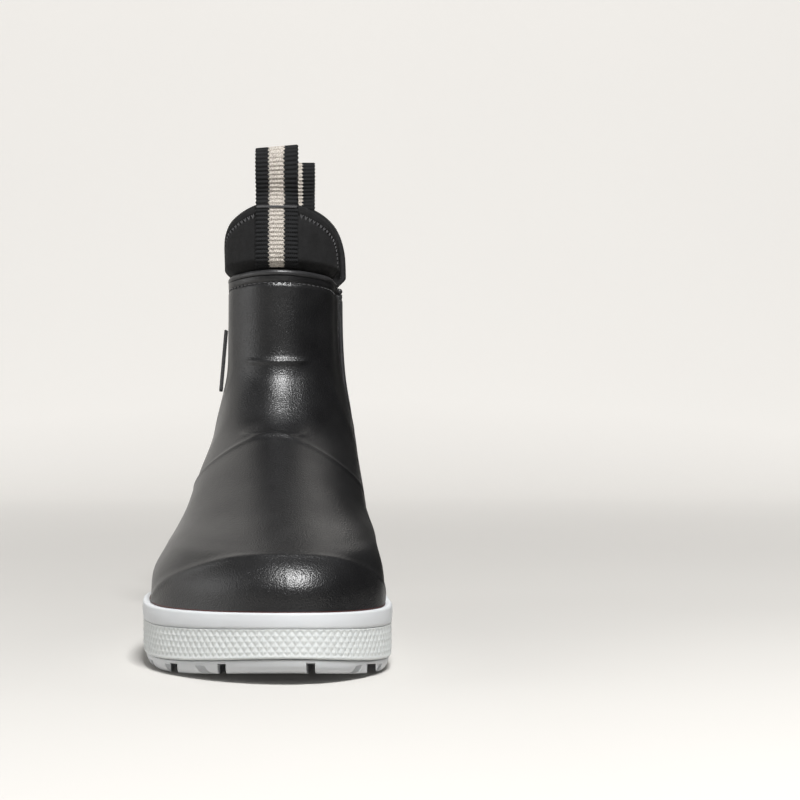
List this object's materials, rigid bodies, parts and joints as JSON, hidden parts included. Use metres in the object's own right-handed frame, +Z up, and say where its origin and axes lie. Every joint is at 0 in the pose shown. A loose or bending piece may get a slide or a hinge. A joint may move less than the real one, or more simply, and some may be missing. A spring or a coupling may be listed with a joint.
{
  "type": "rubber rain boot",
  "caption": "Ankle-height pull-on rubber rain boot with stretch side gores, domed neoprene collar, webbing pull loops and a thick light sole.",
  "frame": {"origin": "middle of the boot's footprint box on the ground plane", "axes": "+Z up, toe toward -Y, heel toward +Y, lateral side -X, medial side +X"},
  "size_m": [0.1074, 0.2862, 0.2359],
  "materials": {
    "sole_rubber": "satin light grey rubber",
    "textured_sole": "diamond-textured light grey rubber",
    "shank_steel": "plain steel strip",
    "board": "fibre board",
    "foam": "textile-covered foam",
    "upper_rubber": "satin black, fine pebble grain",
    "lining": "knit textile",
    "neoprene": "matte black knit-faced neoprene",
    "thread": "polyester thread",
    "webbing": "ribbed black webbing with a pale centre stripe",
    "label": "woven"
  },
  "bodies": {
    "boot": {"outsole": "sole_rubber", "textured_foxing": "textured_sole", "smooth_foxing": "sole_rubber", "midsole": "sole_rubber", "shank": "shank_steel", "insole_board": "board", "footbed": "foam", "heel_pad": "foam", "rubber_upper": "upper_rubber", "toe_puff": "board", "heel_counter": "board", "bootie_lining": "lining", "lateral_gore": "neoprene", "medial_gore": "neoprene", "front_collar": "neoprene", "front_rim_bead": "upper_rubber", "front_rim_stitching": "thread", "front_lateral_hem_stitching": "thread", "front_medial_hem_stitching": "thread", "front_pull_strip": "webbing", "front_inner_tail": "webbing", "front_bar_tack": "thread", "rear_collar": "neoprene", "rear_rim_bead": "upper_rubber", "rear_rim_stitching": "thread", "rear_lateral_hem_stitching": "thread", "rear_medial_hem_stitching": "thread", "rear_pull_strip": "webbing", "rear_inner_tail": "webbing", "rear_bar_tack": "thread"},
    "front_loop": {"front_pull_loop": "webbing"},
    "rear_loop": {"rear_pull_loop": "webbing"},
    "label": {"side_label": "label"}
  },
  "joints": [
    {"name": "front_pull_hinge", "type": "hinge", "parent": "boot", "child": "front_loop", "pos_m": [-0.00071, 0.00878, 0.2049], "axis": [1, 0, 0], "range_deg": [-40, 70], "stiffness_Nm_per_rad": 0.003},
    {"name": "rear_pull_hinge", "type": "hinge", "parent": "boot", "child": "rear_loop", "pos_m": [0.00179, 0.12405, 0.2149], "axis": [-1, 0, 0], "range_deg": [-40, 70], "stiffness_Nm_per_rad": 0.003},
    {"name": "side_label_hinge", "type": "hinge", "parent": "boot", "child": "label", "pos_m": [-0.02954, 0.035, 0.114], "axis": [0.0867, 0, 0.9962], "range_deg": [0, 75], "stiffness_Nm_per_rad": 0.001}
  ]
}
